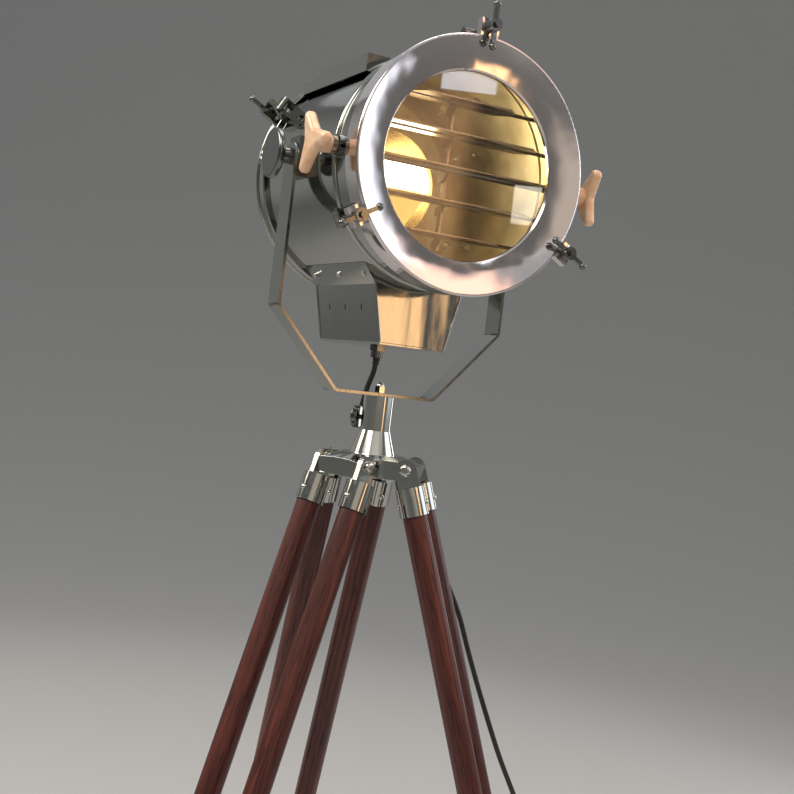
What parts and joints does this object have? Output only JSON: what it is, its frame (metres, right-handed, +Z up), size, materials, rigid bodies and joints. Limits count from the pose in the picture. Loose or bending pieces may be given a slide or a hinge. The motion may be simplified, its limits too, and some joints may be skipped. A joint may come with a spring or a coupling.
{
  "type": "tripod spotlight",
  "caption": "Floor spotlight: polished metal drum lamp with louvre shutter, tilting in a yoke on a wooden tripod with folding telescopic legs and a mains lead.",
  "frame": {"origin": "on the floor under the post's axis", "axes": "+Z up along the post; the head looks along -Y at rest and tilts about an axis along X"},
  "size_m": [0.8405, 0.6615, 1.5725],
  "materials": {
    "chromed_steel": "polished chrome plate",
    "chromed_sheet": "mirror-polished sheet",
    "chromed_casting": "chromed casting",
    "polished_aluminium": "polished casting",
    "front_glass": "clear flat glass",
    "lamp_glass": "warm lamp glass",
    "bronzed_sheet": "bronzed sheet",
    "copper_finish": "satin copper",
    "brass_finish": "satin copper and brass",
    "lacquered_wood": "dark red lacquer",
    "foot_rubber": "moulded rubber",
    "ceramic_look": "glazed lamp holder",
    "cord_pvc": "black PVC"
  },
  "bodies": {
    "tripod": {"hub": "chromed_casting", "neck_post": "chromed_casting", "pan_bolt": "chromed_steel", "hinge_bolts": "chromed_steel", "cord_main": "cord_pvc", "cord_coil": "cord_pvc", "plug": "cord_pvc"},
    "pan_lock": {"pan_lock": "copper_finish"},
    "yoke": {"yoke": "chromed_steel"},
    "head": {"drum": "chromed_sheet", "rear_cover": "chromed_sheet", "bezel_ring": "polished_aluminium", "glass": "front_glass", "glass_ring": "bronzed_sheet", "vent_hood": "chromed_sheet", "lamp_box": "chromed_sheet", "box_plate": "chromed_sheet", "box_screws": "chromed_steel", "cable_gland": "chromed_steel", "reflector": "polished_aluminium", "lamp_socket": "ceramic_look", "bulb": "lamp_glass", "shutter_frame": "bronzed_sheet", "drum_bosses": "chromed_steel", "clamp_clevises": "chromed_steel", "cord_top": "cord_pvc"},
    "tilt_knob_left": {"tilt_knob_left": "brass_finish"},
    "tilt_knob_right": {"tilt_knob_right": "brass_finish"},
    "shutter": {"slat_3": "bronzed_sheet", "shutter_knobs": "copper_finish"},
    "link_bar": {"link_bar": "bronzed_sheet"},
    "slat_1": {"slat_1": "bronzed_sheet"},
    "slat_2": {"slat_2": "bronzed_sheet"},
    "slat_4": {"slat_4": "bronzed_sheet"},
    "slat_5": {"slat_5": "bronzed_sheet"},
    "swing_bolt_1": {"swing_bolt_1": "chromed_steel"},
    "wing_nut_1": {"wing_nut_1": "brass_finish"},
    "swing_bolt_2": {"swing_bolt_2": "chromed_steel"},
    "wing_nut_2": {"wing_nut_2": "brass_finish"},
    "swing_bolt_3": {"swing_bolt_3": "chromed_steel"},
    "wing_nut_3": {"wing_nut_3": "brass_finish"},
    "swing_bolt_4": {"swing_bolt_4": "chromed_steel"},
    "wing_nut_4": {"wing_nut_4": "brass_finish"},
    "swing_bolt_5": {"swing_bolt_5": "chromed_steel"},
    "wing_nut_5": {"wing_nut_5": "brass_finish"},
    "leg_a": {"leg_a_rails": "lacquered_wood", "leg_a_fittings": "chromed_casting"},
    "lower_leg_a": {"leg_a_lower": "lacquered_wood", "leg_a_foot": "foot_rubber"},
    "leg_a_screw": {"leg_a_screw": "copper_finish"},
    "leg_b": {"leg_b_rails": "lacquered_wood", "leg_b_fittings": "chromed_casting"},
    "lower_leg_b": {"leg_b_lower": "lacquered_wood", "leg_b_foot": "foot_rubber"},
    "leg_b_screw": {"leg_b_screw": "copper_finish"},
    "leg_c": {"leg_c_rails": "lacquered_wood", "leg_c_fittings": "chromed_casting"},
    "lower_leg_c": {"leg_c_lower": "lacquered_wood", "leg_c_foot": "foot_rubber"},
    "leg_c_screw": {"leg_c_screw": "copper_finish"}
  },
  "joints": [
    {"name": "yoke_pan", "type": "hinge", "parent": "tripod", "child": "yoke", "pos_m": [0, 0, 1.098], "axis": [0, 0, 1], "range_deg": [-120, 120], "deforming": ["cord_top"]},
    {"name": "head_tilt", "type": "hinge", "parent": "yoke", "child": "head", "pos_m": [0, 0, 1.38], "axis": [1, 0, 0], "range_deg": [-45, 35], "deforming": ["cord_top"]},
    {"name": "pan_lock_turn", "type": "hinge", "parent": "tripod", "child": "pan_lock", "pos_m": [0, 0, 1.068], "axis": [-0.6691, 0.7431, 0], "continuous": true},
    {"name": "tilt_knob_left_turn", "type": "hinge", "parent": "head", "child": "tilt_knob_left", "pos_m": [0, 0, 1.38], "axis": [1, 0, 0], "continuous": true},
    {"name": "tilt_knob_right_turn", "type": "hinge", "parent": "head", "child": "tilt_knob_right", "pos_m": [0, 0, 1.38], "axis": [1, 0, 0], "continuous": true},
    {"name": "shutter_turn", "type": "hinge", "parent": "head", "child": "shutter", "pos_m": [0, -0.125, 1.38], "axis": [1, 0, 0], "range_deg": [0, 80]},
    {"name": "slat_1_turn", "type": "hinge", "parent": "head", "child": "slat_1", "pos_m": [0, -0.125, 1.461], "axis": [1, 0, 0], "range_deg": [0, 80]},
    {"name": "slat_2_turn", "type": "hinge", "parent": "head", "child": "slat_2", "pos_m": [0, -0.125, 1.4205], "axis": [1, 0, 0], "range_deg": [0, 80]},
    {"name": "slat_4_turn", "type": "hinge", "parent": "head", "child": "slat_4", "pos_m": [0, -0.125, 1.3395], "axis": [1, 0, 0], "range_deg": [0, 80]},
    {"name": "slat_5_turn", "type": "hinge", "parent": "head", "child": "slat_5", "pos_m": [0, -0.125, 1.299], "axis": [1, 0, 0], "range_deg": [0, 80]},
    {"name": "link_bar_turn", "type": "hinge", "parent": "shutter", "child": "link_bar", "pos_m": [0, -0.097, 1.371], "axis": [1, 0, 0], "range_deg": [-80, 0]},
    {"name": "swing_bolt_1_swing", "type": "hinge", "parent": "head", "child": "swing_bolt_1", "pos_m": [0, -0.128, 1.543], "axis": [-1, 0, 0], "range_deg": [0, 90]},
    {"name": "wing_nut_1_turn", "type": "hinge", "parent": "swing_bolt_1", "child": "wing_nut_1", "pos_m": [0, -0.128, 1.543], "axis": [0, 1, 0], "continuous": true},
    {"name": "swing_bolt_2_swing", "type": "hinge", "parent": "head", "child": "swing_bolt_2", "pos_m": [-0.14116, -0.128, 1.2985], "axis": [0.5, 0, -0.866], "range_deg": [0, 90]},
    {"name": "wing_nut_2_turn", "type": "hinge", "parent": "swing_bolt_2", "child": "wing_nut_2", "pos_m": [-0.14116, -0.128, 1.2985], "axis": [0, 1, 0], "continuous": true},
    {"name": "swing_bolt_3_swing", "type": "hinge", "parent": "head", "child": "swing_bolt_3", "pos_m": [0.14116, -0.128, 1.2985], "axis": [0.5, 0, 0.866], "range_deg": [0, 90]},
    {"name": "wing_nut_3_turn", "type": "hinge", "parent": "swing_bolt_3", "child": "wing_nut_3", "pos_m": [0.14116, -0.128, 1.2985], "axis": [0, 1, 0], "continuous": true},
    {"name": "swing_bolt_4_swing", "type": "hinge", "parent": "head", "child": "swing_bolt_4", "pos_m": [-0.14116, 0.1, 1.4615], "axis": [0.5, 0, 0.866], "range_deg": [0, 90]},
    {"name": "wing_nut_4_turn", "type": "hinge", "parent": "swing_bolt_4", "child": "wing_nut_4", "pos_m": [-0.14116, 0.1, 1.4615], "axis": [0, 1, 0], "continuous": true},
    {"name": "swing_bolt_5_swing", "type": "hinge", "parent": "head", "child": "swing_bolt_5", "pos_m": [0.14116, 0.1, 1.4615], "axis": [0.5, 0, -0.866], "range_deg": [0, 90]},
    {"name": "wing_nut_5_turn", "type": "hinge", "parent": "swing_bolt_5", "child": "wing_nut_5", "pos_m": [0.14116, 0.1, 1.4615], "axis": [0, 1, 0], "continuous": true},
    {"name": "leg_a_fold", "type": "hinge", "parent": "tripod", "child": "leg_a", "pos_m": [-0.04787, -0.02032, 1.009], "axis": [0.3907, -0.9205, 0], "range_deg": [0, 18]},
    {"name": "leg_a_slide", "type": "slide", "parent": "leg_a", "child": "lower_leg_a", "axis": [0.2875, 0.122, 0.95], "range_m": [0, 0.3]},
    {"name": "leg_a_screw_turn", "type": "hinge", "parent": "leg_a", "child": "leg_a_screw", "pos_m": [-0.23355, -0.09914, 0.39546], "axis": [0.8745, 0.3712, -0.3123], "continuous": true},
    {"name": "leg_b_fold", "type": "hinge", "parent": "tripod", "child": "leg_b", "pos_m": [0.00634, 0.05161, 1.009], "axis": [-0.9925, 0.1219, 0], "range_deg": [0, 18]},
    {"name": "leg_b_slide", "type": "slide", "parent": "leg_b", "child": "lower_leg_b", "axis": [-0.0381, -0.31, 0.95], "range_m": [0, 0.3]},
    {"name": "leg_b_screw_turn", "type": "hinge", "parent": "leg_b", "child": "leg_b_screw", "pos_m": [0.03092, 0.25183, 0.39546], "axis": [-0.1158, -0.9429, -0.3123], "continuous": true},
    {"name": "leg_c_fold", "type": "hinge", "parent": "tripod", "child": "leg_c", "pos_m": [0.04153, -0.03129, 1.009], "axis": [0.6018, 0.7986, 0], "range_deg": [0, 18]},
    {"name": "leg_c_slide", "type": "slide", "parent": "leg_c", "child": "lower_leg_c", "axis": [-0.2494, 0.188, 0.95], "range_m": [0, 0.3]},
    {"name": "leg_c_screw_turn", "type": "hinge", "parent": "leg_c", "child": "leg_c_screw", "pos_m": [0.20263, -0.15269, 0.39546], "axis": [-0.7587, 0.5717, -0.3123], "continuous": true}
  ],
  "couplings": [
    {"joint": "slat_1_turn", "follows": "shutter_turn", "ratio": 1},
    {"joint": "slat_2_turn", "follows": "shutter_turn", "ratio": 1},
    {"joint": "slat_4_turn", "follows": "shutter_turn", "ratio": 1},
    {"joint": "slat_5_turn", "follows": "shutter_turn", "ratio": 1},
    {"joint": "link_bar_turn", "follows": "shutter_turn", "ratio": -1}
  ]
}
